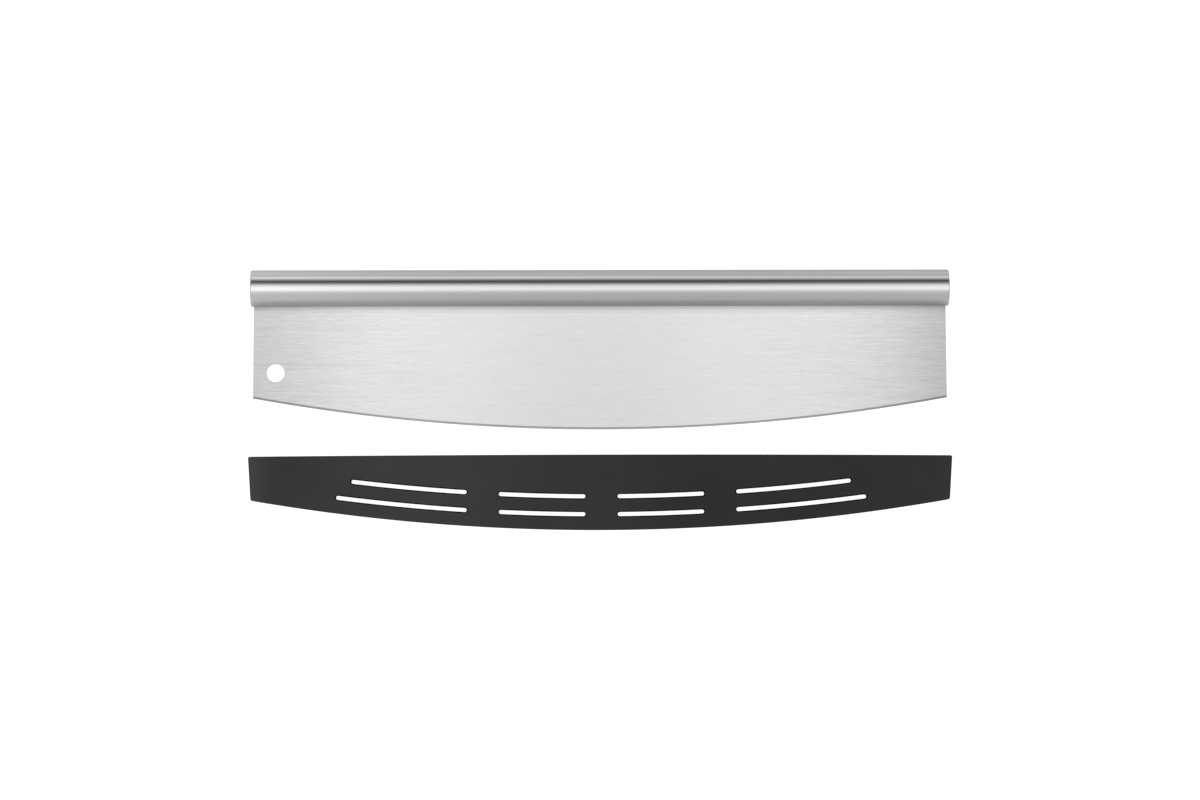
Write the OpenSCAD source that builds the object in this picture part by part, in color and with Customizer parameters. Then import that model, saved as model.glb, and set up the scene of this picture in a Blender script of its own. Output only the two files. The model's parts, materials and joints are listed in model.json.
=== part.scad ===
// Rocking pizza knife with its slide-on blade cover, lying as taken off, front up.
// X runs along the knife, Y from the cutting edge towards the handle, Z up from the table.
// The origin is on the table, under the middle of the whole set.

/* [Handle] */
// Length of the handle over both end caps
handle_len = 406; // [300:1:520]
// Outer diameter of the handle tube
tube_d = 21.3; // [18:0.1:27]
// Wall of the handle tube
tube_wall = 0.8; // [0.6:0.1:2]
// Thickness of each end cap
cap_t = 1.5; // [1:0.1:4]
// Rounding of each end cap's rim
cap_round = 0.6; // [0.2:0.1:0.9]

/* [Blade] */
// Thickness of the blade's sheet
blade_t = 1.5; // [1:0.1:2.5]
// Depth from the handle's axis to the corners of the cutting edge
blade_end_depth = 64; // [45:0.5:90]
// How far the middle of the cutting edge lies below its corners
edge_drop = 18.3; // [8:0.1:30]
// How much wider the blade is at its corners than at its spine, on each side
blade_flare = 0.6; // [0:0.05:2]
// How far the spine reaches into the tube, past the outside of its wall
spine_insert = 7; // [3:0.5:10]
// Gap between each end of the spine and the end cap beside it
spine_gap = 0.2; // [0.1:0.05:1]
// Clearance on each face of the spine in the tube's slot
slot_clear = 0.05; // [0.02:0.01:0.3]
// Height of the ground bevel on each face of the cutting edge
bevel_h = 1.3; // [0.5:0.1:4]
// Flat left between the two bevels, at the very edge
edge_land = 0.2; // [0.1:0.05:0.5]
// How high the welds between tube and blade stand over the blade's face, at the tube
weld_h = 0.65; // [0.3:0.05:1.2]
// How far the welds reach over the blade's face, away from the tube
weld_leg = 3.9; // [2:0.1:6]

/* [Hang hole] */
// Diameter of the hang hole
hole_d = 10.6; // [6:0.1:14]
// From the blade's left corner to the hole's centre, along the knife
hole_from_end = 13.1; // [10:0.1:40]
// From the blade's left corner to the hole's centre, towards the handle
hole_from_corner = 14.8; // [10:0.1:25]

/* [Cover] */
// Wall of the cover on each face of the blade
cover_wall = 1.5; // [1:0.1:3]
// Wall of the cover beyond each end of the blade, at its mouth
cover_end_wall = 2.5; // [2:0.1:5]
// How much narrower each end of the cover is at its spine than at its mouth
cover_end_slant = 1.45; // [0.1:0.05:1.6]
// Wall of the spine under the middle of the cutting edge
spine_wall_mid = 2; // [1.5:0.1:5]
// Wall of the spine under the corners of the cutting edge
spine_wall_end = 2.75; // [1.5:0.05:5]
// Depth of the cover at its two ends, from its mouth to its spine's corners
cover_end_depth = 25.7; // [22:0.1:36]
// How far the mouth bows towards the handle in the middle
mouth_bow = 0.8; // [0.2:0.1:3]
// Rounding of the cover's four outer corners
cover_corner_r = 1.2; // [0.5:0.1:3]
// Gap between each face of the blade and the cover
channel_clear = 0.25; // [0.1:0.05:0.6]
// Gap between each end of the blade and the cover
end_clear = 0.4; // [0.2:0.05:1]
// Gap left under the cutting edge when the cover is on
seat_clear = 0.3; // [0.2:0.05:1]
// How much the channel widens on each face towards the middle of its mouth
lead_in_w = 0.7; // [0.2:0.1:0.9]
// Depth over which it widens
lead_in_depth = 2; // [1:0.1:5]

/* [Cover slots] */
// Width of each slot
slot_w = 2.3; // [1:0.1:4]
// From the cover's spine up to the middle of the lower row
lower_row_h = 9.35; // [7:0.05:12]
// Distance between the two rows
row_pitch = 10.4; // [6:0.05:14]
// Solid web between neighbouring slots
slot_web = 18.7; // [8:0.1:30]
// Length of the inner slots, end to end
inner_slot_len = 50.4; // [20:0.1:60]
// Length of the outer slots in the upper row, end to end
upper_slot_len = 67.2; // [20:0.1:80]
// Length of the outer slots in the lower row, end to end
lower_slot_len = 76.2; // [20:0.1:80]
// How far the pattern of slots lies off the middle, away from the hang hole
slot_shift = 0.5; // [-2:0.1:2]

/* [Layout] */
// Gap between the cutting edge and the cover's mouth in the middle, with the cover off
lay_gap = 14.6; // [5:0.1:60]

/* [Hidden] */

// Longest straight step on a long arc, fewest steps round a small circle, and steps along the mouth
// and across a weld
facet = 2;
min_steps = 160;
mouth_steps = 12;
weld_steps = 5;
// How far cutters reach past what they cut
over = 1;
// How much wider than a slot its round ends are, so that their walls cross the long ones cleanly
end_swell = 0.02;

// Radius of an arc from its half width and its rise
function arc_r(half, rise) = (half * half + rise * rise) / (2 * rise);
// Vector of length 1 along v
function unit(v) = v / norm(v);
// Number of steps round a circle of radius r
function steps(r) = max(min_steps, 4 * ceil(PI * r / 2 / facet));

// Handle and blade, in the knife's own frame: the handle's axis at the origin, Y up the blade
tube_r = tube_d / 2;
tube_len = handle_len - 2 * cap_t;
spine_half = tube_len / 2 - spine_gap;
edge_half = spine_half + blade_flare;
spine_y = spine_insert - tube_r;
corner_y = -blade_end_depth;
edge_y = corner_y - edge_drop;
edge_r = arc_r(edge_half, edge_drop);
hole_x = hole_from_end - edge_half;
hole_y = corner_y + hole_from_corner;

// Where the tube's outside meets the face of the blade, and the length of the weld beads
seam_y = -sqrt(tube_r * tube_r - blade_t * blade_t / 4);
bead_len = 2 * spine_half;

// Cover, in the same frame, where it lies when taken off
channel_w = blade_t + 2 * channel_clear;
cover_t = channel_w + 2 * cover_wall;
channel_half = edge_half + end_clear;
mouth_half = channel_half + cover_end_wall;
spine_corner_half = mouth_half - cover_end_slant;
spine_drop = edge_drop + spine_wall_mid - spine_wall_end;
spine_r = arc_r(spine_corner_half, spine_drop);
mouth_y = edge_y - lay_gap;
mouth_corner_y = mouth_y - mouth_bow;
spine_corner_y = mouth_corner_y - cover_end_depth;
cover_spine_y = spine_corner_y - spine_drop;
floor_y = cover_spine_y + spine_wall_mid;

// How far the cover slides to sit on the blade
cover_travel = edge_y - seat_clear - floor_y;

// Tilt at which the tube and the cover's spine both touch the table
lay_reach = norm([cover_spine_y, cover_t / 2]);
lay_tilt = asin(tube_r / lay_reach) - atan2(cover_t / 2, -cover_spine_y);
front_reach = cover_t / 2 * sin(lay_tilt) - cover_spine_y * cos(lay_tilt);
lay_y = (front_reach - tube_r) / 2;

// Lays what is built in the knife's own frame on the table
module lay() {
    translate([0, lay_y, tube_r]) rotate([lay_tilt, 0, 0]) children();
}

// Bar along X with the outline of its children, drawn with their X as Y and their Y as Z
module along_x(len) {
    rotate([90, 0, 90]) translate([0, 0, -len / 2]) linear_extrude(len) children();
}

// Disc in the blade's plane, with a rim ground from both faces down to the edge's land
module ground_disc() {
    rotate_extrude($fn = steps(edge_r))
        polygon([[0, -blade_t / 2], [edge_r - bevel_h, -blade_t / 2], [edge_r, -edge_land / 2],
                 [edge_r, edge_land / 2], [edge_r - bevel_h, blade_t / 2], [0, blade_t / 2]]);
}

module blade() {
    slope = blade_flare / (spine_y - corner_y);
    low_y = edge_y - over;
    low_half = edge_half + slope * (corner_y - low_y);
    color("silver") lay() difference() {
        intersection() {
            translate([0, edge_y + edge_r, 0]) ground_disc();
            translate([0, 0, -blade_t]) linear_extrude(2 * blade_t)
                polygon([[-spine_half, spine_y], [spine_half, spine_y],
                         [low_half, low_y], [-low_half, low_y]]);
        }
        translate([hole_x, hole_y, -blade_t])
            cylinder(h = 2 * blade_t, d = hole_d, $fn = steps(hole_d / 2));
    }
}

module handle_tube() {
    color("gainsboro") lay() along_x(tube_len) difference() {
        circle(tube_r, $fn = steps(tube_r));
        circle(tube_r - tube_wall, $fn = steps(tube_r));
        translate([-tube_r - over, -blade_t / 2 - slot_clear])
            square([tube_r + over, blade_t + 2 * slot_clear]);
    }
}

// End cap with its flat inner face at the origin, facing along +Z
module end_cap() {
    rim_r = tube_r - cap_round;
    rotate_extrude($fn = steps(tube_r)) union() {
        square([tube_r, cap_t - cap_round]);
        square([rim_r, cap_t]);
        translate([rim_r, cap_t - cap_round]) intersection() {
            circle(cap_round, $fn = steps(tube_r));
            square(cap_round);
        }
    }
}

module left_end_cap() {
    color("gainsboro") lay() translate([-tube_len / 2, 0, 0]) rotate([0, -90, 0]) end_cap();
}

module right_end_cap() {
    color("gainsboro") lay() translate([tube_len / 2, 0, 0]) rotate([0, 90, 0]) end_cap();
}

// Point on the hollow face of a weld, a share t of the way from its foot to the tube
function weld_point(t) = [seam_y - weld_leg * (1 - t), blade_t / 2 + weld_h * t * t];

// Ground weld between tube and blade, on the front (1) or the back (-1)
module weld_bead(side) {
    hollow = [for (i = [0 : weld_steps]) weld_point(i / weld_steps)];
    inside_y = seam_y + weld_h;
    color("silver") lay() along_x(bead_len) mirror([0, side > 0 ? 0 : 1]) difference() {
        polygon(concat(hollow, [[inside_y, blade_t / 2 + weld_h], [inside_y, blade_t / 2]]));
        circle(tube_r, $fn = steps(tube_r));
    }
}

module front_weld_bead() {
    weld_bead(1);
}

module back_weld_bead() {
    weld_bead(-1);
}

// Removes what lies outside a rounding of radius r about centre c, between the directions a and b
module corner_cut(c, a, b, r) {
    reach = 2 * r;
    difference() {
        polygon([c, c + a * reach, c + (a + b) * reach, c + b * reach]);
        translate(c) circle(r, $fn = steps(r));
    }
}

// Point on the cover's mouth, which bows a little along its length
function mouth_point(x) = [x, mouth_y - mouth_bow * pow(x / mouth_half, 2)];

// Outer shape of the cover in the blade's plane, with its four corners rounded
module cover_outline() {
    mouth_line = [for (i = [-1 : 2 / mouth_steps : 1]) mouth_point(i * mouth_half)];
    last = len(mouth_line) - 1;
    mouth_corner = mouth_line[last];
    mouth_dir = unit(mouth_line[last] - mouth_line[last - 1]);
    end_dir = unit([spine_corner_half, spine_corner_y] - mouth_corner);
    end_out = [-end_dir.y, end_dir.x];
    mouth_out = [-mouth_dir.y, mouth_dir.x];
    // The mouth's rounding touches two straight lines
    turn = acos(mouth_dir * end_dir);
    mouth_round = mouth_corner - (end_out + mouth_out) * cover_corner_r / (1 + cos(turn));
    // The spine's rounding touches the end's line and, from inside, the spine's circle
    spine_centre = [0, cover_spine_y + spine_r];
    inset = mouth_corner - end_out * cover_corner_r - spine_centre;
    reach = spine_r - cover_corner_r;
    along = sqrt(pow(inset * end_dir, 2) - inset * inset + reach * reach) - inset * end_dir;
    spine_round = spine_centre + inset + end_dir * along;
    spine_out = unit(spine_round - spine_centre);
    foot = mouth_corner + end_dir * 2 * (cover_end_depth + spine_drop);
    difference() {
        intersection() {
            polygon(concat(mouth_line, [foot, [-foot.x, foot.y]]));
            translate(spine_centre) circle(spine_r, $fn = steps(spine_r));
        }
        for (flip = [0, 1]) mirror([flip, 0]) {
            corner_cut(mouth_round, end_out, mouth_out, cover_corner_r);
            corner_cut(spine_round, end_out, spine_out, cover_corner_r);
        }
    }
}

// Row of four slots that follows the spine's arc, h above it
module slot_row(h, outer_len) {
    centre_y = cover_spine_y + h + spine_r;
    inner_start = slot_web / 2;
    outer_start = inner_start + inner_slot_len + slot_web;
    aside = slot_shift / spine_r * 180 / PI;
    translate([0, centre_y, 0]) rotate([0, 0, aside]) for (flip = [0, 1]) mirror([flip, 0, 0]) {
        curved_slot(inner_start, inner_slot_len);
        curved_slot(outer_start, outer_len);
    }
}

// Slot with round ends along the spine's arc, from start over len, measured along the arc
module curved_slot(start, len) {
    first = (start + slot_w / 2) / spine_r * 180 / PI;
    last = (start + len - slot_w / 2) / spine_r * 180 / PI;
    rotate([0, 0, first - 90]) rotate_extrude(angle = last - first, $fn = steps(spine_r))
        translate([spine_r - slot_w / 2, -cover_t]) square([slot_w, 2 * cover_t]);
    for (turn = [first, last]) rotate([0, 0, turn - 90]) translate([spine_r, 0, -cover_t])
        cylinder(h = 2 * cover_t, d = slot_w + end_swell, $fn = steps(slot_w / 2));
}

// Room for the blade in the cover, open at the mouth, in the blade's plane
module channel_outline() {
    top_y = mouth_y + over;
    intersection() {
        translate([0, floor_y + edge_r]) circle(edge_r, $fn = steps(edge_r));
        translate([-channel_half, floor_y - over])
            square([2 * channel_half, top_y - floor_y + over]);
    }
}

// Wedge that widens the channel towards its mouth, so that the blade finds its way in
module lead_in() {
    slope = lead_in_w / lead_in_depth;
    apex_y = mouth_y - lead_in_depth - channel_w / 2 / slope;
    top_y = mouth_y + over;
    top_w = (top_y - apex_y) * slope;
    along_x(2 * channel_half)
        polygon([[apex_y, 0], [top_y, -top_w], [top_y, top_w]]);
}

// The cover is one moulding. Its two slotted walls and the rim between them are solids of their own,
// face to face, so that each is simple and the channel between them stays open.

// Slotted wall of the cover, on the front (1) or the back (-1)
module slotted_wall(side) {
    color([0.2, 0.2, 0.2]) lay() difference() {
        translate([0, 0, side > 0 ? channel_w / 2 : -cover_t / 2])
            linear_extrude(cover_wall) cover_outline();
        lead_in();
        slot_row(lower_row_h, lower_slot_len);
        slot_row(lower_row_h + row_pitch, upper_slot_len);
    }
}

module cover_front_wall() {
    slotted_wall(1);
}

module cover_back_wall() {
    slotted_wall(-1);
}

// Spine of the cover with the wall beyond each end of the blade, as thick as the channel is wide
module cover_rim() {
    color([0.2, 0.2, 0.2]) lay() translate([0, 0, -channel_w / 2])
        linear_extrude(channel_w) difference() {
            cover_outline();
            channel_outline();
        }
}

blade();
handle_tube();
left_end_cap();
right_end_cap();
front_weld_bead();
back_weld_bead();
cover_front_wall();
cover_back_wall();
cover_rim();
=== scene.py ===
# %% [markdown]
# # A rocking pizza knife and its blade cover
#
# The real object is a long stainless blade with a curved cutting edge, welded into a slotted tube that
# serves as the handle, and a black plastic cover that slides over the edge. This lesson dresses the
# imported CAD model: each piece is modelled again with mesh operators, finely enough for a close look,
# and gets its own procedural finish. The CAD model is the frame, and it says where everything lies.

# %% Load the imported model
import json
import math
import random

import bmesh
import bpy
from mathutils import Matrix, Vector


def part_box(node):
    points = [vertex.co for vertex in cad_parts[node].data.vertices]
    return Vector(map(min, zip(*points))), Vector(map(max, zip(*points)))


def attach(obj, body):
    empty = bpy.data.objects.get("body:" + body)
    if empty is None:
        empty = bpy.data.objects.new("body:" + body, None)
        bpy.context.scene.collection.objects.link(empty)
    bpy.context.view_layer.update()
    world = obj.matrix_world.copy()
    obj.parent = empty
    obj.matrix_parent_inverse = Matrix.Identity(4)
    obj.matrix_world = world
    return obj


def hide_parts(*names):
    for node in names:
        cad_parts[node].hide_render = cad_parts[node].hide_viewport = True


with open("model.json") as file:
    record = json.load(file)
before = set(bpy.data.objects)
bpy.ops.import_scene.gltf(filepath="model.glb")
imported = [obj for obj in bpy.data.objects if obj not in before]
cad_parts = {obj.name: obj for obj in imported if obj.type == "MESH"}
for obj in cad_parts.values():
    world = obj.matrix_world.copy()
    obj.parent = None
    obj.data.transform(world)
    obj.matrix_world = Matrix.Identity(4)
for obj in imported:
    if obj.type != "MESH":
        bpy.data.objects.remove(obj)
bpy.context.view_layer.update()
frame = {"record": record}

mm = 0.001

# %% [markdown]
# ## The knife's own frame
#
# Blade and cover lie in one plane that is tilted a little, because the round handle holds the blade up
# from the table. Modelling in a tilted plane is awkward. It is easier to model everything flat, in the
# knife's own frame, and to lay the finished mesh down last. There X runs along the knife, Y from the
# cutting edge towards the handle, Z out of the front face, and the handle's axis is the X axis. The
# direction in which the cover slides is that frame's Y, so the joint gives the tilt, and the handle's
# box gives the place.

# %% Find the tilt and the place of the handle's axis
slide_dir = Vector(frame["record"]["behaviour"]["joints"][0]["axis"])
tilt = math.atan2(slide_dir.z, slide_dir.y)
tube_low, tube_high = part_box("handle_tube")
tube_r = (tube_high.z - tube_low.z) / 2
tube_len = tube_high.x - tube_low.x
axis_place = Vector((0, (tube_low.y + tube_high.y) / 2, (tube_low.z + tube_high.z) / 2))
lay = Matrix.Translation(axis_place) @ Matrix.Rotation(tilt, 4, "X")
print("tilt in degrees:", round(math.degrees(tilt), 3), "tube radius in mm:", round(tube_r / mm, 2))

# %% [markdown]
# ## The blade's outline
#
# Several pieces follow the blade: the welds lie along it, the cover fits over it, and its finish changes
# from edge to spine. So its outline comes first, measured as a toolmaker would: how deep the ends are,
# how far the cutting edge drops between them, how much wider the blade is there. The radius of the edge
# could be measured too, but then it might disagree with the rest. It is worked out instead.

# %% Sizes that other pieces need, in metres
blade_t = 1.5 * mm
blade_end_depth = 64 * mm  # from the handle's axis to the two lower corners
edge_drop = 18.3 * mm  # from the corners down to the middle of the cutting edge
blade_flare = 0.6 * mm  # what each end gains from the spine to the corner
spine_insert = 7 * mm  # how far the spine reaches into the tube
spine_gap = 0.2 * mm  # from the end of the spine to the end of the tube
weld_leg = 3.9 * mm  # how far the weld runs out into the blade


def arc_radius(half, rise):
    """Radius of an arc that rises by rise over a half width of half."""
    return (half * half + rise * rise) / (2 * rise)


spine_half = tube_len / 2 - spine_gap
spine_y = spine_insert - tube_r
corner_y = -blade_end_depth
edge_half = spine_half + blade_flare
edge_y = corner_y - edge_drop
edge_r = arc_radius(edge_half, edge_drop)
weld_foot_y = -tube_r - weld_leg
print("cutting edge in mm: width", round(2 * edge_half / mm, 1), "radius", round(edge_r / mm))

# %% [markdown]
# ## Helpers for modelling
#
# Most pieces here are a profile that travels along an arc or a line. The operator for the arc is spin:
# it turns a chain of edges about a centre and skins the path. A shape that is larger than needed is then
# trimmed with flat cuts, the way a blank is trimmed in a workshop. That keeps every face in tidy strips,
# which take reflections much better than a patchwork of triangles.

# %% Chains of edges, spins and extrusions
# A long spin ends a fraction of this away from where it should, so what lies this close is one point
merge_dist = 0.002 * mm


def verts_of(geom):
    return [g for g in geom if isinstance(g, bmesh.types.BMVert)]


def edges_of(geom):
    return [g for g in geom if isinstance(g, bmesh.types.BMEdge)]


def chain(bm, points, closed=False):
    """A few vertices joined by edges, as the start of a spin or an extrusion."""
    verts = [bm.verts.new(p) for p in points]
    ends = zip(verts, verts[1:] + verts[:1]) if closed else zip(verts, verts[1:])
    return verts + [bm.edges.new(pair) for pair in ends]


def spin(bm, geom, centre, axis, angle, steps):
    """Turns geom about an axis, skins its path and returns the geometry at the far end. After a full
    turn the end is merged with the start."""
    full_turn = abs(angle) == 2 * math.pi
    done = bmesh.ops.spin(bm, geom=geom, cent=centre, axis=axis, angle=angle, steps=steps,
                          use_merge=full_turn, use_duplicate=False)
    return done["geom_last"]


def push(bm, edges, way):
    """Extrudes edges along a straight way and returns the edges at the far end."""
    done = bmesh.ops.extrude_edge_only(bm, edges=edges)["geom"]
    far = verts_of(done)
    bmesh.ops.translate(bm, vec=way, verts=far)
    return [e for e in edges_of(done) if set(e.verts) <= set(far)]


print("points closer than this many mm become one:", merge_dist / mm)

# %% Flat cuts, closed seams and rounded edges
# How near a plane a point must lie to count as on it, in metres
on_plane = 1e-6


def trim(bm, point, outward):
    """Cuts away what lies beyond a plane and closes the cut with one face."""
    everything = bm.verts[:] + bm.edges[:] + bm.faces[:]
    bmesh.ops.bisect_plane(bm, geom=everything, plane_co=point, plane_no=outward,
                           dist=on_plane / 100, clear_outer=True)
    point, outward = Vector(point), Vector(outward).normalized()
    rim = [e for e in bm.edges if e.is_boundary
           and all(abs((v.co - point).dot(outward)) < on_plane for v in e.verts)]
    bmesh.ops.edgeloop_fill(bm, edges=rim)


def close_up(bm):
    """Merges doubles, fills what is still open and turns every face outwards."""
    bmesh.ops.remove_doubles(bm, verts=bm.verts[:], dist=merge_dist)
    rim = [e for e in bm.edges if e.is_boundary]
    if rim:
        bmesh.ops.holes_fill(bm, edges=rim, sides=0)
    bmesh.ops.recalc_face_normals(bm, faces=bm.faces[:])


def sharp(e, degrees=50):
    """Whether two faces meet at this edge with a sharp turn."""
    return len(e.link_faces) == 2 and e.calc_face_angle() > math.radians(degrees)


def round_edges(bm, wanted, radius, segments):
    """Rounds the edges for which wanted(edge) is true."""
    edges = [e for e in bm.edges if wanted(e)]
    bmesh.ops.bevel(bm, geom=edges, offset=radius, offset_type="OFFSET", segments=segments, profile=0.5,
                    affect="EDGES", clamp_overlap=True, material=-1)


print("points count as on a cut within this many mm:", on_plane / mm)

# %% [markdown]
# ## From a bmesh to a finished piece
#
# A piece is first an ordinary object, so that boolean cuts can work on it. When it is done its mesh is
# laid down in place, the object stays at the origin, it is hung on the body it rides on and given its
# finish, and the CAD nodes it stands for are hidden. Before it is laid down, its flat X and Y are kept as
# a
# UV map called lengthwise, so that a finish can follow the knife. Edges that turn sharply are marked, and
# the weighted normal modifier keeps the large flat faces flat beside their small roundings.

# %% Objects, cuts and finished pieces
def to_object(name, bm):
    """Turns a bmesh into an object in the scene."""
    mesh = bpy.data.meshes.new(name)
    bm.to_mesh(mesh)
    bm.free()
    obj = bpy.data.objects.new(name, mesh)
    bpy.context.scene.collection.objects.link(obj)
    return obj


def cut(obj, cutter):
    """Removes the cutter's volume from obj, for good."""
    step = obj.modifiers.new("cut", "BOOLEAN")
    step.operation = "DIFFERENCE"
    step.solver = "EXACT"
    step.object = cutter
    graph = bpy.context.evaluated_depsgraph_get()
    result = bpy.data.meshes.new_from_object(obj.evaluated_get(graph))
    obj.modifiers.clear()
    obj.data = result
    bpy.data.objects.remove(cutter)


def finish_piece(obj, body, nodes, materials, crease=40, pick=None):
    """pick(face) gives the number of a face's material; without it every face has the first."""
    bm = bmesh.new()
    bm.from_mesh(obj.data)
    bmesh.ops.remove_doubles(bm, verts=bm.verts[:], dist=merge_dist)
    bmesh.ops.dissolve_degenerate(bm, edges=bm.edges[:], dist=merge_dist)
    bmesh.ops.recalc_face_normals(bm, faces=bm.faces[:])
    open_edges = sum(1 for e in bm.edges if not e.is_manifold)
    lengthwise = bm.loops.layers.uv.new("lengthwise")
    for face in bm.faces:
        for loop in face.loops:
            loop[lengthwise].uv = (loop.vert.co.x, loop.vert.co.y)
        face.smooth = True
        face.material_index = pick(face) if pick else 0
    for edge in bm.edges:
        edge.smooth = not sharp(edge, crease)
    bm.transform(lay)
    # Clearing the materials also clears each face's number, so it comes before the mesh is written
    obj.data.materials.clear()
    for material in materials:
        obj.data.materials.append(material)
    bm.to_mesh(obj.data)
    volume = bm.calc_volume(signed=True)
    bm.free()
    steady = obj.modifiers.new("steady_normals", "WEIGHTED_NORMAL")
    steady.keep_sharp = True
    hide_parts(*nodes)
    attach(obj, body)
    print(obj.name, "faces", len(obj.data.polygons), "open edges", open_edges,
          "volume in mm3", round(volume / mm ** 3))

# %% [markdown]
# ## Helpers for finishes
#
# A procedural finish is a little network of nodes that ends in the Principled shader. Most of it is
# arithmetic: a pattern between two limits is stretched to other limits, multiplied, and sent to the
# colour, the roughness or the height. A few helpers keep that readable. Drawing each network by hand in
# the shader editor would do as well, but then the numbers would be hidden in the boxes.

# %% A small kit for shader nodes
def new_material(name):
    """A material, its node tree and the shader in it."""
    material = bpy.data.materials.new(name)
    material.use_nodes = True
    tree = material.node_tree
    return material, tree, tree.nodes["Principled BSDF"]


def add(tree, kind, **values):
    """Adds a node. Each value goes to the property of its name, or else to the input of its name."""
    node = tree.nodes.new(kind)
    for key, value in values.items():
        if hasattr(node, key):
            setattr(node, key, value)
        else:
            node.inputs[key.replace("_", " ")].default_value = value
    return node


def calc(tree, operation, *values):
    """One step of arithmetic on numbers and on other nodes' outputs."""
    node = add(tree, "ShaderNodeMath", operation=operation)
    for socket, value in zip(node.inputs, values):
        if isinstance(value, (int, float)):
            socket.default_value = value
        else:
            tree.links.new(value, socket)
    return node.outputs["Value"]


def product(tree, first, *others):
    """All the values multiplied."""
    for other in others:
        first = calc(tree, "MULTIPLY", first, other)
    return first


def remap(tree, value, low_in, high_in, low_out, high_out):
    """Stretches a value from one range to another and stops it at the ends."""
    node = add(tree, "ShaderNodeMapRange", From_Min=low_in, From_Max=high_in,
               To_Min=low_out, To_Max=high_out)
    tree.links.new(value, node.inputs["Value"])
    return node.outputs["Result"]

# %% Greys, heights and noise
def grey_colour(tree, value, dark, light):
    """Turns a value from 0 to 1 into a grey between dark and light."""
    ramp = add(tree, "ShaderNodeValToRGB")
    for end, level in zip(ramp.color_ramp.elements, (dark, light)):
        end.color = (level, level, level, 1)
    tree.links.new(value, ramp.inputs["Fac"])
    return ramp.outputs["Color"]


def engrave(tree, shader, height, depth, strength=1.0):
    """Makes the shader see the surface raised by height times depth, in metres."""
    bump = add(tree, "ShaderNodeBump", Strength=strength, Distance=depth)
    tree.links.new(height, bump.inputs["Height"])
    tree.links.new(bump.outputs["Normal"], shader.inputs["Normal"])


def stretched_noise(tree, waves, detail=3.0, rough=0.6):
    """Noise on object coordinates, with its own number of waves a metre along each axis."""
    place = add(tree, "ShaderNodeTexCoord")
    mapping = add(tree, "ShaderNodeMapping", vector_type="POINT", Scale=waves)
    noise = add(tree, "ShaderNodeTexNoise", Scale=1.0, Detail=detail, Roughness=rough)
    tree.links.new(place.outputs["Object"], mapping.inputs["Vector"])
    tree.links.new(mapping.outputs["Vector"], noise.inputs["Vector"])
    return noise.outputs["Fac"]


# Noise lies around 0.5 and seldom leaves these limits
noise_low, noise_high = 0.3, 0.7
print("noise is taken from", noise_low, "to", noise_high)

# %% [markdown]
# ## Painted light and shade along the knife
#
# A long piece is never equally bright from end to end. In the photograph the blade gets darker towards
# its ends, the tube gets lighter there, and the cover is a little lighter on its left half. That is
# mostly the way the light falls, with some uneven finish in it. One picture can't tell how much of that
# is finish and how much is light. One smooth curve along each piece paints this light and shade into its
# colour, set by comparing the render with the photograph. A noise would be quicker, but it couldn't be
# told where to be light. The curve reads the lengthwise UV map, which holds X and Y in metres.

# %% The place on the knife and a factor along it that paints light and shade
def knife_place(tree):
    """The place on the knife, in metres: along it, and across it in the blade's plane."""
    place = add(tree, "ShaderNodeUVMap", uv_map="lengthwise")
    split = add(tree, "ShaderNodeSeparateXYZ")
    tree.links.new(place.outputs["UV"], split.inputs["Vector"])
    return split.outputs["X"], split.outputs["Y"]


# A curve node draws values from 0 to 1, so factors are halved in it and doubled after it
curve_top = 2


def painted_light_along(tree, stops):
    """A smooth factor along the knife, given as (place in metres, factor), that paints light and shade.
    """
    half = stops[-1][0]
    curve = add(tree, "ShaderNodeFloatCurve")
    points = curve.mapping.curves[0].points
    drawn = [((x + half) / (2 * half), factor / curve_top) for x, factor in stops]
    points[0].location = drawn[0]
    points[-1].location = drawn[-1]
    for at in drawn[1:-1]:
        points.new(*at)
    for point in points:
        point.handle_type = "AUTO_CLAMPED"
    curve.mapping.update()
    x = knife_place(tree)[0]
    tree.links.new(remap(tree, x, -half, half, 0, 1), curve.inputs["Value"])
    return calc(tree, "MULTIPLY", curve.outputs["Value"], curve_top)


print("factors along the knife reach up to", curve_top)

# %% [markdown]
# ## Brush strokes
#
# A brush leaves straight scratches, and each ends somewhere: most are faint, and a few stand out. Noise
# stretched along the knife is the usual way to draw them, but its lines are all of one kind and have no
# ends. Here the sheet is divided into rows of long narrow cells. Each row starts at a random place, and
# each cell holds one stroke of random height that fades out towards its ends and its sides.

# %% One set of strokes
# Random heights run from -1 up to this, because dark strokes stand out more than light ones
lightest_stroke = 0.95


def strokes(tree, rows, per_row):
    """Strokes along the knife, with this many rows and strokes a metre, as heights between -1 and 1."""
    x, y = knife_place(tree)
    across = calc(tree, "MULTIPLY", y, rows)
    row = calc(tree, "FLOOR", across)
    start = add(tree, "ShaderNodeTexWhiteNoise", noise_dimensions="1D")
    tree.links.new(row, start.inputs["W"])
    along = calc(tree, "ADD", calc(tree, "MULTIPLY", x, per_row), start.outputs["Value"])
    cell = add(tree, "ShaderNodeCombineXYZ")
    tree.links.new(row, cell.inputs["X"])
    tree.links.new(calc(tree, "FLOOR", along), cell.inputs["Y"])
    height = add(tree, "ShaderNodeTexWhiteNoise", noise_dimensions="2D")
    tree.links.new(cell.outputs["Vector"], height.inputs["Vector"])
    even = remap(tree, height.outputs["Value"], 0, 1, -1, lightest_stroke)
    # The fifth power leaves most strokes faint and a few strong
    square = product(tree, even, even)
    level = product(tree, even, product(tree, square, square))
    for way in (along, across):
        fade = calc(tree, "SINE", product(tree, calc(tree, "FRACT", way), math.pi))
        level = product(tree, level, fade)
    return level


print("strokes lie between -1 and", round(lightest_stroke ** 5, 2))

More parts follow.
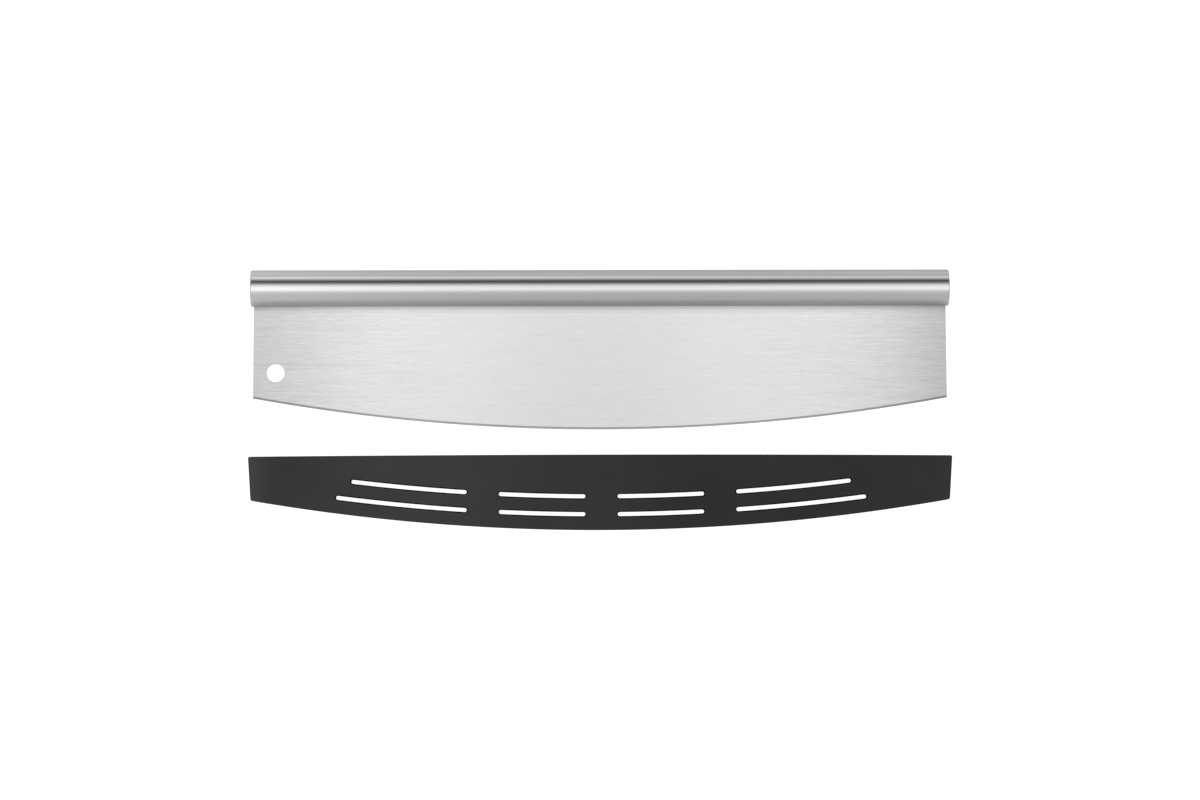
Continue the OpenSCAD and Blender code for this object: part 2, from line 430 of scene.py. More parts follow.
# %% [markdown]
# ## Brushed steel
#
# The blade is sheet brushed from end to end, and the ground welds beside the tube look brushed with it.
# Such steel is a mirror blurred by its strokes, much more across them than along them, so the shader's
# anisotropic setting is used, with the tangent of the lengthwise map. Several sets of strokes lie over
# each other, from broad to hair-fine: from afar the broad ones are seen, and close up the fine ones.
# They change the tone, the roughness and, by about a micrometre, the height. In the middle of the
# blade they are fainter than at its ends.

# %% Steel brushed along the knife
# Each set: rows of strokes a metre across, strokes a metre along a row, and how much they count
stroke_sets = ((1210, 10, 0.9), (1990, 48, 2.0), (2410, 140, 2.1),
               (3170, 330, 1.8), (5300, 60, 1.6), (11700, 40, 2.0))
# Up to the first distance from the middle, in metres, strokes have only a share of their strength, and
# from the second on they have all of it
faint_until, full_from = 0.08, 0.19
faint_share = 0.36
# The sheet's tone at the cutting edge and at the tube, painted darker towards the edge as shade,
# and how far strokes swing its roughness
edge_shade, tube_side_light = 0.95, 1.02
stroke_gloss = 0.15
stroke_depth = 0.0008 * mm
# Painted light and shade along the blade, darker towards its ends: (place in metres, factor)
blade_light_stops = [(-0.203, 0.81), (-0.115, 1.05), (0.0, 0.955), (0.09, 1.02), (0.15, 0.97), (0.203, 0.7)]


def brushed_steel(name, base, contrast, rough, directional, tube_shade=1.0):
    """contrast is how far the strokes change the tone, directional how much more the steel blurs across
    them. tube_shade is the tone's factor right beside the tube: a painted shade of the tube, a little
    darker towards it."""
    material, tree, shader = new_material(name)
    shader.inputs["Metallic"].default_value = 1.0
    swing = None
    for rows, per_row, share in stroke_sets:
        layer = product(tree, strokes(tree, rows, per_row), share)
        swing = calc(tree, "ADD", swing, layer) if swing else layer
    x, y = knife_place(tree)
    use = remap(tree, calc(tree, "ABSOLUTE", x), faint_until, full_from, faint_share, 1)
    swing = product(tree, swing, use)
    # Painted light and shade in the tone: along the knife, from the cutting edge to the tube, and beside
    # the tube
    shade = product(tree, painted_light_along(tree, blade_light_stops), base,
                    remap(tree, y, edge_y, -tube_r, edge_shade, tube_side_light),
                    remap(tree, y, weld_foot_y, -tube_r, 1.0, tube_shade))
    tone = product(tree, shade, calc(tree, "MULTIPLY_ADD", swing, contrast, 1))
    tree.links.new(grey_colour(tree, tone, 0, 1), shader.inputs["Base Color"])
    dull = remap(tree, swing, -1, 1, rough * (1 + stroke_gloss), rough * (1 - stroke_gloss))
    tree.links.new(dull, shader.inputs["Roughness"])
    engrave(tree, shader, swing, stroke_depth)
    along = add(tree, "ShaderNodeTangent", direction_type="UV_MAP", uv_map="lengthwise")
    tree.links.new(along.outputs["Tangent"], shader.inputs["Tangent"])
    shader.inputs["Anisotropic"].default_value = directional
    # A quarter turn from the tangent, so that the blur runs across the strokes
    shader.inputs["Anisotropic Rotation"].default_value = 0.25
    return material


blade_steel = brushed_steel("brushed_blade_steel", base=0.643, contrast=0.044, rough=0.3,
                            directional=0.45)
# The weld steel is painted darker towards the tube, as the tube's shade over it
weld_steel = brushed_steel("ground_weld_steel", base=0.602, contrast=0.038, rough=0.32, directional=0.3,
                           tube_shade=0.86)
print("brushed finishes:", blade_steel.name, weld_steel.name)

# %% [markdown]
# ## Satin and ground steel
#
# The tube has a satin sheen with only hair-fine lines along it. Its underside is made duller, as grinding
# the welds would leave it. The cutting edge's bevel is given the short coarse marks of a grinding wheel,
# which are too small to see in the photograph. Both are the same finish with other numbers. Stretched
# noise is enough for them: the lines are so fine that nobody sees where one ends.

# %% Steel with fine polishing or grinding lines
# Painted light and shade along the tube, lighter towards its ends: (place in metres, factor)
tube_light_stops = [(-0.205, 1.24), (-0.09, 1.05), (0.0, 1.0), (0.1, 1.02), (0.205, 1.1)]
# Fine lines fill a narrower part of their noise
line_low, line_high = 0.32, 0.68
# The tube gets duller from the first place under its axis to the second, as shares of its radius
dull_from, dull_to = -0.5, -0.8


def lined_steel(name, base, stops, waves, contrast, rough, rough_swing, depth, rough_below=None):
    """waves is the number of lines a metre along X, Y and Z, and depth how deep they are in metres.
    rough_below is the roughness of the tube's underside."""
    material, tree, shader = new_material(name)
    shader.inputs["Metallic"].default_value = 1.0
    lines = stretched_noise(tree, waves, detail=2.0, rough=0.55)
    swing = remap(tree, lines, line_low, line_high, -1, 1)
    tone = product(tree, painted_light_along(tree, stops), base, calc(tree, "MULTIPLY_ADD", swing, contrast, 1))
    tree.links.new(grey_colour(tree, tone, 0, 1), shader.inputs["Base Color"])
    if rough_below:
        y = knife_place(tree)[1]
        rough = remap(tree, y, dull_from * tube_r, dull_to * tube_r, rough, rough_below)
    dull = calc(tree, "ADD", remap(tree, swing, -1, 1, rough_swing, -rough_swing), rough)
    tree.links.new(dull, shader.inputs["Roughness"])
    engrave(tree, shader, lines, depth)
    return material


# The bevel's base is darker than the blade's: partly ground steel, partly painted shade along the cutting
# edge
bevel_steel = lined_steel("ground_bevel_steel", base=0.53, stops=blade_light_stops, waves=(200, 2600, 2600),
                          contrast=0.1, rough=0.3, rough_swing=0.06, depth=0.003 * mm)
tube_steel = lined_steel("satin_tube_steel", base=0.56, stops=tube_light_stops, waves=(9, 1300, 1300),
                         contrast=0.015, rough=0.15, rough_swing=0.02, depth=0.0008 * mm,
                         rough_below=0.5)
print("lined finishes:", bevel_steel.name, tube_steel.name)

# %% [markdown]
# ## Black cover plastic
#
# The cover looks like matt black plastic with a fine moulded grain. Under soft light that is never quite
# black: the grain scatters a little light, and handling leaves slightly shinier patches. One flat
# dark grey would look like a hole in the picture. So a fine noise gives the grain, a large slow one the
# patches, and a curve paints light into it, lighter towards its left end. The walls of the slots get a
# nearly black plastic without gloss, painted shade for the inside of the slots, because they look nearly
# black in the photograph.

# %% Matt plastic for the faces, painted shade for the slots
grain_waves = (2500, 2500, 2500)
patch_waves = (14, 30, 30)
haze_waves = (400, 400, 400)
grain_share, patch_share = 0.4, 0.6
grain_depth = 0.03 * mm
plastic_grey = 0.06
# Painted light along the cover, lighter towards its left end: (place in metres, factor)
cover_light_stops = [(-0.208, 1.0), (-0.201, 0.92), (-0.184, 0.55), (-0.115, 0.71), (-0.03, 0.53),
               (0.07, 0.31), (0.19, 0.33), (0.208, 0.46)]


def moulded_plastic(name, dimmest, rough, rough_worn):
    """dimmest is the darkest patch as a share of the lightest one, and rough_worn is the roughness of
    the shiniest."""
    material, tree, shader = new_material(name)
    grain = stretched_noise(tree, grain_waves, detail=3.0, rough=0.7)
    patches = stretched_noise(tree, patch_waves, detail=4.0, rough=0.6)
    tone = calc(tree, "ADD", product(tree, grain, grain_share), product(tree, patches, patch_share))
    tone = product(tree, remap(tree, tone, noise_low, noise_high, dimmest, 1.0),
                   painted_light_along(tree, cover_light_stops))
    tree.links.new(grey_colour(tree, tone, 0, plastic_grey), shader.inputs["Base Color"])
    dull = remap(tree, patches, noise_low, noise_high, rough, rough_worn)
    tree.links.new(dull, shader.inputs["Roughness"])
    shader.inputs["Specular IOR Level"].default_value = 0.3
    engrave(tree, shader, grain, grain_depth, strength=0.6)
    return material


def painted_shadow_plastic(name, base, base_swing, rough, rough_swing):
    """A dark plastic without gloss, which paints the shade in a recess. The swings say how far its tone
    and its roughness vary.
    """
    material, tree, shader = new_material(name)
    haze = stretched_noise(tree, haze_waves, detail=2.0)
    grey = grey_colour(tree, haze, (1 - base_swing) * base, (1 + base_swing) * base)
    tree.links.new(grey, shader.inputs["Base Color"])
    dull = remap(tree, haze, noise_low, noise_high, rough - rough_swing, rough + rough_swing)
    tree.links.new(dull, shader.inputs["Roughness"])
    shader.inputs["Specular IOR Level"].default_value = 0.0
    return material


cover_plastic = moulded_plastic("matt_black_plastic", dimmest=0.85, rough=0.62, rough_worn=0.5)
# The slots' walls are painted nearly black, as the shade inside the slots
slot_shadow_plastic = painted_shadow_plastic("slot_wall_painted_shadow", base=0.006, base_swing=0.2, rough=0.8,
                              rough_swing=0.03)
print("plastic finishes:", cover_plastic.name, slot_shadow_plastic.name)

# %% [markdown]
# ## The blade
#
# The blade is a flat sheet whose lower edge is an arc, ground to a bevel on both faces. A grid with its
# lower row pushed down would do for the outline, but not for the bevel. So the sheet's cross-section,
# bevel included, is spun about the arc's centre, high above the blade, into a sector of a huge ground
# disc. Three cuts trim it to the two sides and the spine, and the long edges of the sides lose their
# sharpness.

# %% Spin and trim the blade
bevel_h = 1.3 * mm
edge_land = 0.2 * mm  # thickness that is left at the cutting edge
side_round = 0.3 * mm
arc_steps = 160
# How far a blank reaches past the piece at each end, and past its straight side, before it is trimmed
end_excess = 16 * mm
side_excess = 4 * mm
edge_centre = Vector((0, edge_y + edge_r, 0))


def arc_blank(bm, centre, radius, profile, half_width):
    """Spins a closed profile below a centre, far enough to cover half_width and some more on each side.
    The profile's points are (depth inside the arc, height)."""
    reach = math.asin((half_width + end_excess) / radius)
    loop = chain(bm, [centre + Vector((0, depth - radius, z)) for depth, z in profile], closed=True)
    bmesh.ops.rotate(bm, cent=centre, matrix=Matrix.Rotation(-reach, 3, "Z"), verts=verts_of(loop))
    spin(bm, loop, centre, (0, 0, 1), 2 * reach, arc_steps)


def is_side(e):
    """Whether an edge runs up a side of the blade and is sharp."""
    low, high = sorted(v.co.y for v in e.verts)
    return sharp(e) and high - low > blade_end_depth / 3


def make_blade():
    bm = bmesh.new()
    depth = (spine_y - edge_y) + side_excess
    half_t, half_land = blade_t / 2, edge_land / 2
    profile = [(depth, -half_t), (bevel_h, -half_t), (0, -half_land),
               (0, half_land), (bevel_h, half_t), (depth, half_t)]
    arc_blank(bm, edge_centre, edge_r, profile, edge_half)
    lean = math.atan2(blade_flare, spine_y - corner_y)
    for side in (-1, 1):
        trim(bm, (side * spine_half, spine_y, 0), (side * math.cos(lean), math.sin(lean), 0))
    trim(bm, (0, spine_y, 0), (0, 1, 0))
    close_up(bm)
    round_edges(bm, is_side, side_round, segments=3)
    return to_object("blade_sheet", bm)


blade = make_blade()
print("blade before drilling:", len(blade.data.polygons), "faces")

# %% [markdown]
# ## The hang hole
#
# The hole may be drilled or punched, and its rims are taken to be broken a little, so that they don't
# cut the hand. A plain cylinder as a cutter would leave knife-sharp rims. The drill here is a short
# profile spun once round, straight in its middle and wider at both faces of the blade. What lies flat in
# the sheet keeps the brushed finish, and everything that a tool has ground gets the ground one.

# %% Drill the hole and finish the blade
hole_r = 5.3 * mm
hole_from_end = 13.1 * mm  # from the blade's left end to the middle of the hole
hole_from_corner = 14.8 * mm  # from the lower corner up to the middle of the hole
countersink = 0.12 * mm
hole_steps = 96
# A face whose normal has less Z than this isn't flat in the sheet
flat_z = 0.99


def make_drill():
    """A drill along Z with a cone at both faces of the blade."""
    bm = bmesh.new()
    half = blade_t / 2
    cone_r = hole_r + countersink + half
    profile = [(0, -2 * half), (cone_r, -2 * half), (hole_r, -half + countersink),
               (hole_r, half - countersink), (cone_r, 2 * half), (0, 2 * half)]
    place = Vector((hole_from_end - edge_half, corner_y + hole_from_corner, 0))
    line = chain(bm, [place + Vector((r, 0, z)) for r, z in profile])
    spin(bm, line, place, (0, 0, 1), 2 * math.pi, hole_steps)
    close_up(bm)
    return to_object("drill", bm)


def is_ground(face):
    """1 on the bevel and the other edges, 0 on the two flat faces."""
    return int(abs(face.normal.z) < flat_z)


cut(blade, make_drill())
finish_piece(blade, "knife", ["blade"], [blade_steel, bevel_steel], crease=25,
             pick=is_ground)

# %% [markdown]
# ## The handle tube
#
# The tube is open along a slot underneath, where the blade's spine goes in. A cylinder with a groove cut
# into it would have odd faces at the lips. Here one vertex is spun about the handle's axis, from one lip
# of the slot round to the other, which gives the section. The chain is extruded along the axis, and the
# wall gets its thickness inwards.

# %% Roll the tube
tube_wall = 0.8 * mm
slot_clear = 0.05 * mm  # between each lip and the sheet
tube_steps = 188
tube_bays = 8


def make_tube():
    bm = bmesh.new()
    lip = math.asin((blade_t / 2 + slot_clear) / tube_r)
    start = Vector((-tube_len / 2, -tube_r * math.cos(lip), tube_r * math.sin(lip)))
    spin(bm, [bm.verts.new(start)], (0, 0, 0), (1, 0, 0), -(2 * math.pi - 2 * lip), tube_steps)
    edges = bm.edges[:]
    for bay in range(tube_bays):
        edges = push(bm, edges, (tube_len / tube_bays, 0, 0))
    bmesh.ops.remove_doubles(bm, verts=bm.verts[:], dist=merge_dist)
    bmesh.ops.recalc_face_normals(bm, faces=bm.faces[:])
    # An open sheet has no outside of its own, and the wall must grow towards the axis
    middle = bm.faces[0].calc_center_median()
    if bm.faces[0].normal.dot(Vector((0, middle.y, middle.z))) < 0:
        bmesh.ops.reverse_faces(bm, faces=bm.faces[:])
    bmesh.ops.solidify(bm, geom=bm.faces[:], thickness=tube_wall)
    return to_object("handle_rolled_tube", bm)


finish_piece(make_tube(), "knife", ["handle_tube"], [tube_steel])

# %% [markdown]
# ## The end caps
#
# Each cap is a disc of the tube's diameter with a small rounding at its rim, as if welded on and ground.
# A bevelled cylinder would give that too, with more steps. Here the half profile is a short chain whose
# corner is itself spun, and the chain is then spun once round the handle's axis. Both caps are one
# function with a side.

# %% Turn the end caps
cap_t = 1.5 * mm
cap_round = 0.6 * mm
cap_steps = 128


def make_cap(name, side):
    bm = bmesh.new()
    inner = side * tube_len / 2
    outer = inner + side * cap_t
    shoulder = outer - side * cap_round
    rim = chain(bm, [(inner, 0, 0), (inner, tube_r, 0), (shoulder, tube_r, 0)])
    last = max(verts_of(rim), key=lambda v: side * v.co.x + v.co.y)
    tip = spin(bm, [last], (shoulder, tube_r - cap_round, 0), (0, 0, -side), math.pi / 2, steps=8)
    centre = bm.verts.new((outer, 0, 0))
    bm.edges.new((verts_of(tip)[0], centre))
    bmesh.ops.remove_doubles(bm, verts=bm.verts[:], dist=merge_dist)
    spin(bm, bm.verts[:] + bm.edges[:], (0, 0, 0), (1, 0, 0), 2 * math.pi, cap_steps)
    close_up(bm)
    return to_object(name, bm)


for name, side, node in (("left_cap_disc", -1, "left_end_cap"), ("right_cap_disc", 1, "right_end_cap")):
    finish_piece(make_cap(name, side), "knife", [node], [tube_steel], crease=60)

# %% [markdown]
# ## The weld seams
#
# Tube and blade are joined by a weld on each face, ground to a shallow hollow that runs out into the
# blade. The hollow catches the light in a soft gradient beside the tube. Its section is one vertex spun
# about the hollow's centre, closed at the corner, and extruded along the knife in short steps. A ground
# weld is never quite even, and one long extrusion would be. So each step is lowered a little, by chance
# but with a fixed seed.

# %% Lay the weld seams
weld_h = 0.65 * mm  # how high the weld stands on the sheet, right at the tube
ripple_step = 2.5 * mm
ripple = 0.1  # how much lower than weld_h a step may be, as a share of it
# How far the weld's section reaches into the tube's wall and into the sheet, so that no gap shows
weld_bite = 0.15 * mm
# Points of one row along the seam are known by their Y, to this many digits of a metre
row_digits = 7
seam_y = -math.sqrt(tube_r * tube_r - blade_t * blade_t / 4)


def make_seam(name, side, seed):
    bm = bmesh.new()
    rng = random.Random(seed)
    hollow_r = arc_radius(weld_leg, weld_h)
    start_x, face_z = -spine_half, side * blade_t / 2
    foot = bm.verts.new((start_x, seam_y - weld_leg, face_z))
    hollow_centre = (start_x, foot.co.y, face_z + side * hollow_r)
    reach = math.asin((weld_leg + weld_bite) / hollow_r)
    spin(bm, [foot], hollow_centre, (side, 0, 0), reach, steps=10)
    top = max(bm.verts, key=lambda v: v.co.y)
    low = [bm.verts.new((start_x, y, face_z - side * weld_bite)) for y in (top.co.y, foot.co.y)]
    for pair in ((top, low[0]), (low[0], low[1]), (low[1], foot)):
        bm.edges.new(pair)
    bmesh.ops.contextual_create(bm, geom=bm.edges[:])

    def above(v):
        return (v.co.z - face_z) * side > 0

    def row(v):
        return round(v.co.y, row_digits)

    heights = {row(v): v.co.z - face_z for v in bm.verts if above(v)}
    face = bm.faces[:]
    count = round(2 * spine_half / ripple_step)
    for i in range(count):
        grown = bmesh.ops.extrude_face_region(bm, geom=face)["geom"]
        bmesh.ops.delete(bm, geom=face, context="FACES_ONLY")
        bmesh.ops.translate(bm, vec=(2 * spine_half / count, 0, 0), verts=verts_of(grown))
        size = 1.0 if i == count - 1 else rng.uniform(1 - ripple, 1.0)
        for v in filter(above, verts_of(grown)):
            v.co.z = face_z + heights[row(v)] * size
        face = [g for g in grown if isinstance(g, bmesh.types.BMFace)]
    close_up(bm)
    return to_object(name, bm)


seams = (("front_seam", 1, 11, "front_weld_bead"), ("back_seam", -1, 12, "back_weld_bead"))
for name, side, seed, node in seams:
    finish_piece(make_seam(name, side, seed), "knife", [node], [weld_steel], crease=60)

# %% [markdown]
# ## The cover's sizes
#
# The cover is moulded in one piece: two thin walls, a spine along the curve and closed ends. It has to
# fit the blade, so its channel takes its sizes from the blade and a clearance. In the photograph it lies
# beside the knife, and the gap between the two gives its place. Sizes of its own are those of its walls,
# its slanted ends and its bowed mouth.

# %% Sizes of the cover, in metres
cover_wall = 1.5 * mm
cover_end_wall = 2.5 * mm
cover_end_slant = 1.45 * mm  # how far each end leans in, from the mouth to the spine
cover_end_depth = 25.7 * mm  # from the mouth to the spine at each end
spine_wall_mid = 2 * mm  # wall under the channel's floor, in the middle
spine_wall_end = 2.75 * mm  # and towards the ends
mouth_bow = 0.8 * mm  # how far the mouth rises in its middle
channel_clear = 0.25 * mm  # between the channel and each face of the blade
end_clear = 0.4 * mm  # between the channel and each end of the blade
lay_gap = 14.6 * mm  # between cutting edge and cover as they lie

channel_w = blade_t + 2 * channel_clear
cover_t = channel_w + 2 * cover_wall
channel_half = edge_half + end_clear
mouth_half = channel_half + cover_end_wall
spine_corner_half = mouth_half - cover_end_slant
spine_drop = edge_drop + spine_wall_mid - spine_wall_end
spine_r = arc_radius(spine_corner_half, spine_drop)
mouth_y = edge_y - lay_gap
mouth_corner_y = mouth_y - mouth_bow
spine_corner_y = mouth_corner_y - cover_end_depth
cover_spine_y = spine_corner_y - spine_drop
floor_y = cover_spine_y + spine_wall_mid
spine_centre = Vector((0, cover_spine_y + spine_r, 0))
print("cover in mm: width", round(2 * mouth_half / mm, 1), "thickness", round(cover_t / mm, 1),
      "radius of the spine", round(spine_r / mm))

# %% [markdown]
# ## The cover's outer shape
#
# The block starts as the blade did, with a rectangle spun about the spine's centre and trimmed. A box
# bent with a modifier would be quicker, but its ends would turn with the bend, and these ends are flat
# and slant a little inwards. Then the mouth bows a little in the middle, the corners get round, and all
# outer edges are softened, as they come out of a mould.

# %% Spin, trim and soften the cover
cover_corner_r = 1.2 * mm
cover_edge_r = 0.6 * mm
# The cover is modelled this much inside its true faces, so that no rounding error leaves its box
skin = 0.05 * mm


def is_corner(e):
    """Whether an edge runs through the cover's thickness and is sharp."""
    a, b = (v.co for v in e.verts)
    return sharp(e) and abs(a.z - b.z) > cover_t / 2


def make_cover():
    bm = bmesh.new()
    depth = (mouth_y - cover_spine_y) + side_excess
    half_t = cover_t / 2
    profile = [(depth, -half_t), (skin, -half_t), (skin, half_t), (depth, half_t)]
    arc_blank(bm, spine_centre, spine_r, profile, mouth_half)
    lean = math.atan2(cover_end_slant, cover_end_depth)
    for side in (-1, 1):
        end = (side * (mouth_half - skin), mouth_corner_y, 0)
        trim(bm, end, (side * math.cos(lean), -math.sin(lean), 0))
    trim(bm, (0, mouth_y - skin, 0), (0, 1, 0))
    close_up(bm)
    for v in bm.verts:
        if v.co.y > mouth_y - 2 * skin:
            v.co.y -= mouth_bow * min(1, (v.co.x / mouth_half) ** 2)
    round_edges(bm, is_corner, cover_corner_r, segments=8)
    round_edges(bm, sharp, cover_edge_r, segments=4)
    return to_object("slotted_blade_cover", bm)


cover = make_cover()
print("cover before cutting:", len(cover.data.polygons), "faces")

# %% [markdown]
# ## The channel and its lead-in
#
# The blade slides into a channel that is open only at the mouth. Its floor has the cutting edge's own
# radius, so it is the same spun blank as the blade, a little larger. Right at the mouth the channel
# widens, so that the blade finds its way in: that cutter is a section with slanted sides, extruded from
# end to end. Cutting a volume away is the surest way here, because every wall comes out closed.

# %% Cut the channel and widen its mouth
lead_in_w = 0.7 * mm  # what the channel gains on each side at the mouth
lead_in_depth = 2 * mm
channel_excess = 2 * mm
lead_in_excess = 1 * mm


def make_channel_cutter():
    bm = bmesh.new()
    half = channel_w / 2
    depth = (mouth_y - floor_y) + side_excess
    profile = [(depth, -half), (0, -half), (0, half), (depth, half)]
    arc_blank(bm, Vector((0, floor_y + edge_r, 0)), edge_r, profile, channel_half)
    for side in (-1, 1):
        trim(bm, (side * channel_half, 0, 0), (side, 0, 0))
    trim(bm, (0, mouth_y + channel_excess, 0), (0, 1, 0))
    close_up(bm)
    return to_object("channel_cutter", bm)


def make_lead_in_cutter():
    bm = bmesh.new()
    low, high = mouth_y - lead_in_depth, mouth_y + lead_in_excess
    narrow = channel_w / 2
    wide = narrow + lead_in_w * (high - low) / lead_in_depth
    section = [(low, -narrow), (high, -wide), (high, wide), (low, narrow)]
    loop = chain(bm, [(-channel_half, y, z) for y, z in section], closed=True)
    push(bm, edges_of(loop), (2 * channel_half, 0, 0))
    close_up(bm)
    return to_object("lead_in_cutter", bm)


cut(cover, make_channel_cutter())
cut(cover, make_lead_in_cutter())
print("cover with its channel:", len(cover.data.polygons), "faces")

# %% [markdown]
# ## The slots
#
# Eight slots go right through the cover, in two rows that follow its curve, with round ends and softly
# rounded rims. Rounding the rims after a cut often fails where small faces meet. So the rounding is part
# of the cutter: its wall is a chain from just behind the cover to just in front of it, wider at both
# faces. One such chain is spun along the row, round the end, back, and round the other end.

# %% Make a cutter for one row of slots
slot_w = 2.3 * mm
slot_round = 0.65 * mm
slot_web = 18.7 * mm  # what is left between two slots of a row
inner_slot_len = 50.4 * mm
upper_slot_len = 67.2 * mm
lower_slot_len = 76.2 * mm
slot_shift = 0.5 * mm  # the pattern lies this much off the cover's middle
lower_row_h = 9.35 * mm
row_pitch = 10.4 * mm
round_turns = [step * math.pi / 8 for step in range(5)]
slot_step = 2 * mm
slot_end_steps = 16


def make_slot_cutter(row_h, outer_len):
    bm = bmesh.new()
    half_w, half_t = slot_w / 2, cover_t / 2
    centre = spine_centre + Vector((0, row_h, 0))
    rim = [(half_w + slot_round * (1 - math.cos(a)), half_t - slot_round * (1 - math.sin(a)))
           for a in round_turns]
    rim.append((half_w + slot_round, half_t + mm))
    wall = [(out, -z) for out, z in reversed(rim)] + rim
    inner_start = slot_web / 2
    outer_start = inner_start + inner_slot_len + slot_web
    for side in (-1, 1):
        for start, length in ((inner_start, inner_slot_len), (outer_start, outer_len)):
            first = (slot_shift + side * (start + half_w)) / spine_r
            last = (slot_shift + side * (start + length - half_w)) / spine_r
            ends = [centre + Matrix.Rotation(turn, 3, "Z") @ Vector((0, -spine_r, 0))
                    for turn in (first, last)]
            steps = round(length / slot_step)
            line = chain(bm, [centre + Vector((0, -(spine_r + out), z)) for out, z in wall])
            bmesh.ops.rotate(bm, cent=centre, matrix=Matrix.Rotation(first, 3, "Z"),
                             verts=verts_of(line))
            line = spin(bm, line, centre, (0, 0, 1), last - first, steps)
            line = spin(bm, line, ends[1], (0, 0, 1), side * math.pi, slot_end_steps)
            line = spin(bm, line, centre, (0, 0, 1), first - last, steps)
            spin(bm, line, ends[0], (0, 0, 1), side * math.pi, slot_end_steps)
    close_up(bm)
    return to_object("slot_cutter", bm)


slot_rows = ((lower_row_h, lower_slot_len), (lower_row_h + row_pitch, upper_slot_len))
for row_h, outer_len in slot_rows:
    cut(cover, make_slot_cutter(row_h, outer_len))
print("cover with its slots:", len(cover.data.polygons), "faces")

# %% [markdown]
# ## Two plastics on the cover
#
# The walls of the slots get the plastic that paints their shade. They could be painted by hand in face
# mode, but a rule lasts longer than a selection: a face belongs to a slot if it isn't flat on the cover,
# lies within one slot's width of a row's arc, and isn't beyond the last slot.

# %% Finish the cover
row_centres = [spine_centre + Vector((0, row[0], 0)) for row in slot_rows]
# Half a web, a slot, a web and the longest slot from the cover's middle, and a little more
slots_end = slot_web * 1.5 + inner_slot_len + lower_slot_len + 2 * mm


def in_slot(face):
    """1 on the walls and rims of the slots, which are painted as shade, 0 elsewhere."""
    middle = face.calc_center_median()
    if abs(face.normal.z) > flat_z or abs(middle.x) > slots_end:
        return 0
    flat = Vector((middle.x, middle.y, 0))
    return int(any(abs((flat - centre).length - spine_r) < slot_w for centre in row_centres))


finish_piece(cover, "cover", ["cover_front_wall", "cover_back_wall", "cover_rim"],
             [cover_plastic, slot_shadow_plastic], pick=in_slot)

# %% [markdown]
# ## Camera
#
# The photograph looks straight down on the knife through a long lens. The camera's place and turn were
# worked out from the edges of the handle, the blade and the cover in the picture. They are given in the
# knife's own frame, as three small angles, the point that the picture's centre shows, and a distance.

# %% Place the camera
view_pitch = math.radians(-1.80)
view_yaw = math.radians(0.96)
view_roll = math.radians(0.113)
aim = Vector((-0.24 * mm, -65.17 * mm, 0))
view_distance = 2.329
pixels_per_mm_at_aim = 1.7183
photo_width_px = 1200
sensor_width = 36.0

turn = (Matrix.Rotation(view_roll, 3, "Z") @ Matrix.Rotation(view_yaw, 3, "Y")
        @ Matrix.Rotation(view_pitch, 3, "X")).transposed()
camera_data = bpy.data.cameras.new("camera")
camera_data.sensor_width = sensor_width
camera_data.lens = pixels_per_mm_at_aim * view_distance / mm / photo_width_px * sensor_width
camera = bpy.data.objects.new("camera", camera_data)
bpy.context.scene.collection.objects.link(camera)
step_back = Matrix.Translation((0, 0, view_distance))
camera.matrix_world = lay @ Matrix.Translation(aim) @ turn.to_4x4() @ step_back
bpy.context.scene.camera = camera
print("lens in mm:", round(camera_data.lens, 1))

# %% [markdown]
# ## White floor
#
# The knife lies on plain white, as in a studio picture whose table is lit from below. A white floor
# alone would show grey shadows. This one glows a little, so that its shadows stay very faint. Polished
# metal would mirror it as one hard white sheet, and is shown the dome's softer lower half instead.

# %% Lay the floor
floor_size = 20.0
floor_drop = 0.2 * mm  # how far it lies under the knife
floor_greys = (0.30, 0.31)

bm = bmesh.new()
bmesh.ops.create_grid(bm, x_segments=1, y_segments=1, size=floor_size / 2)
bmesh.ops.translate(bm, vec=(0, 0, -floor_drop), verts=bm.verts[:])
floor = to_object("floor", bm)
floor_material, tree, shader = new_material("white_floor")
shader.inputs["Roughness"].default_value = 1.0
shader.inputs["Specular IOR Level"].default_value = 0.0
mottle = stretched_noise(tree, (30, 30, 30))
tree.links.new(grey_colour(tree, mottle, *floor_greys), shader.inputs["Base Color"])
shader.inputs["Emission Color"].default_value = (1, 1, 1, 1)
shader.inputs["Emission Strength"].default_value = 1.0
floor.data.materials.append(floor_material)
floor.visible_glossy = False
print("floor", floor_size, "m wide")

# %% [markdown]
# ## Dome of light
#
# Polished metal shows its surroundings, so the light is made as surroundings. A few lamps would give
# the tube hard lines and leave the blade dark. A dome of soft bands, like panels along a studio's
# ceiling, is seen whole in the tube: the bright panel overhead gives the highlight, and a narrow dark
# gap on the handle's side gives the crisp dark line that makes the tube look round.

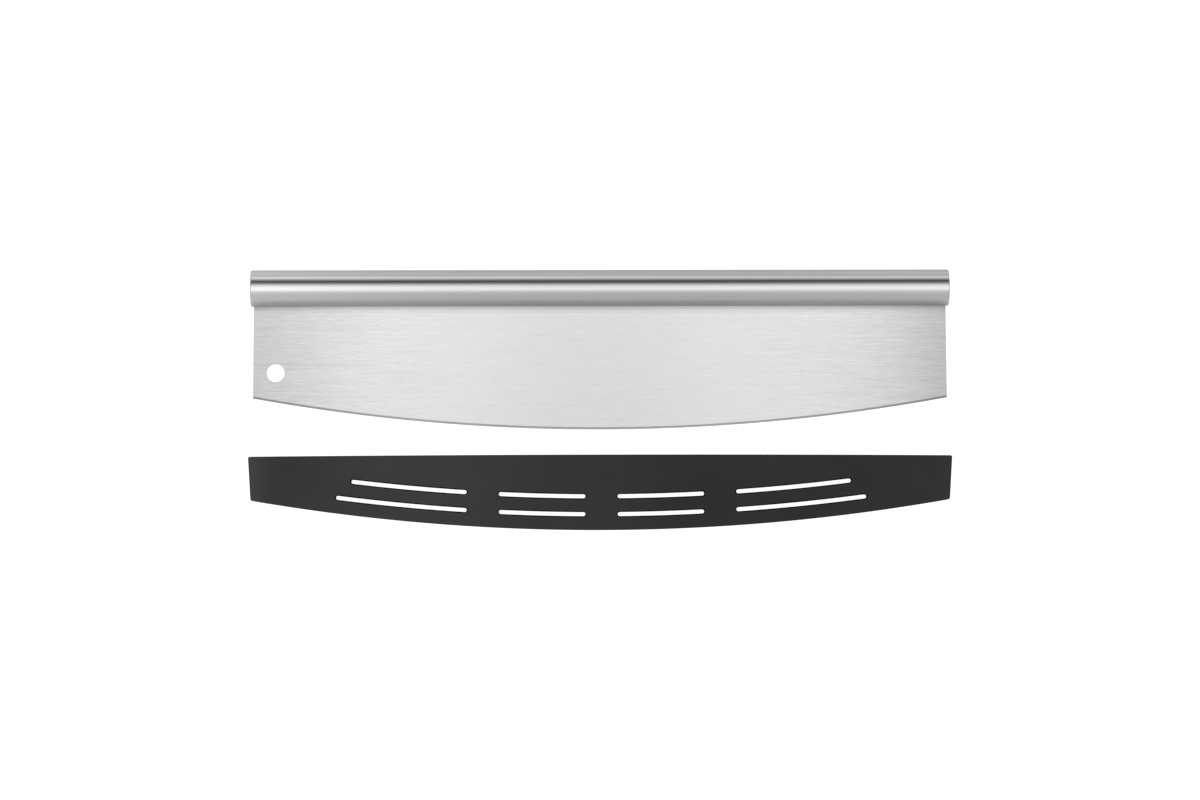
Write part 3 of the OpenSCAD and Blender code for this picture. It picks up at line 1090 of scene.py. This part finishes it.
# %% Hang the dome
# Each band is an angle from straight up, towards the handle's side, and a brightness
under_edge_side = [(-180, 0.7), (-120, 1.0), (-95, 1.15)]
edge_side_wall = [(-80, 0.81), (-65, 0.74), (-50, 0.73), (-38, 0.76)]
overhead_panel = [(-28, 0.94), (-20, 1.18), (-12, 1.48), (-5, 1.46), (2, 1.34), (9, 1.2), (16, 0.81)]
dark_gap = [(23, 0.44), (29, 0.22), (34, 0.13), (38, 0.08), (42, 0.1), (46, 0.29)]
handle_side_strip = [(52, 0.56), (60, 0.87), (68, 1.21), (76, 0.75)]
under_handle_side = [(84, 0.8), (92, 1.08), (105, 1.01), (130, 0.9), (160, 0.6), (180, 0.7)]
dome_bands = (under_edge_side + edge_side_wall + overhead_panel + dark_gap
              + handle_side_strip + under_handle_side)
dome_top = 2.4
# Towards the knife's two ends the dome gets darker, from the first lean to the second
end_fade_from, end_fade_to = math.radians(2), math.radians(40)
end_share = 0.72

world = bpy.data.worlds.new("dome")
bpy.context.scene.world = world
world.use_nodes = True
tree = world.node_tree
background = tree.nodes["Background"]
place = add(tree, "ShaderNodeTexCoord")
split = add(tree, "ShaderNodeSeparateXYZ")
tree.links.new(place.outputs["Generated"], split.inputs["Vector"])
lean_y = calc(tree, "ARCTAN2", split.outputs["Y"], split.outputs["Z"])
lean_x = calc(tree, "ARCTAN2", split.outputs["X"], split.outputs["Z"])
bands = add(tree, "ShaderNodeValToRGB")
stops = bands.color_ramp.elements
# A ramp starts with two stops, which become the first and the last band
for degrees, brightness in dome_bands[1:-1]:
    stops.new((degrees + 180) / 360)
for stop, (degrees, brightness) in zip(stops, dome_bands):
    level = brightness / dome_top
    stop.color = (level, level, level, 1)
tree.links.new(remap(tree, lean_y, -math.pi, math.pi, 0, 1), bands.inputs["Fac"])
tree.links.new(bands.outputs["Color"], background.inputs["Color"])
fade = remap(tree, calc(tree, "ABSOLUTE", lean_x), end_fade_from, end_fade_to, 1.0, end_share)
tree.links.new(product(tree, fade, dome_top), background.inputs["Strength"])
bpy.context.scene.view_settings.view_transform = "Standard"
print("dome bands:", len(dome_bands))
